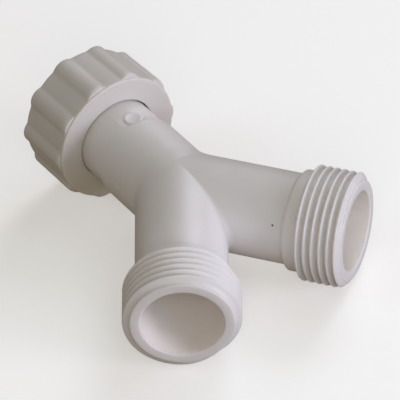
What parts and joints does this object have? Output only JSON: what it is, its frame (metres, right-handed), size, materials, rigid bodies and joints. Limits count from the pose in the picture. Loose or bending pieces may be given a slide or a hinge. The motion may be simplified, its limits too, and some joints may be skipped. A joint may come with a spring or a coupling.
{
  "type": "hose splitter",
  "caption": "Y-shaped moulded water splitter: a captive ribbed swivel nut with internal pipe thread feeds two externally threaded outlets.",
  "frame": {"origin": "on the inlet axis, at the start of the nut's thread", "axes": "+Y out of the inlet's mouth; the outlets fan out towards -Y, one to each side of X; +Z is square to the plane of the Y"},
  "size_m": [0.0682, 0.0827, 0.0322],
  "materials": {
    "body_plastic": "moulded off-white plastic with a soft satin sheen",
    "nut_plastic": "moulded off-white plastic with a soft satin sheen",
    "washer_rubber": "dark matt rubber"
  },
  "bodies": {
    "splitter": {"y_body": "body_plastic"},
    "seal": {"inlet_washer": "washer_rubber"},
    "nut": {"swivel_nut": "nut_plastic"}
  },
  "joints": [
    {"name": "nut_spin", "type": "hinge", "parent": "splitter", "child": "seal", "pos_m": [0, 0, 0], "axis": [0, 1, 0], "continuous": true},
    {"name": "nut_slide", "type": "slide", "parent": "seal", "child": "nut", "axis": [0, -1, 0], "range_m": [0, 0.0045]}
  ]
}
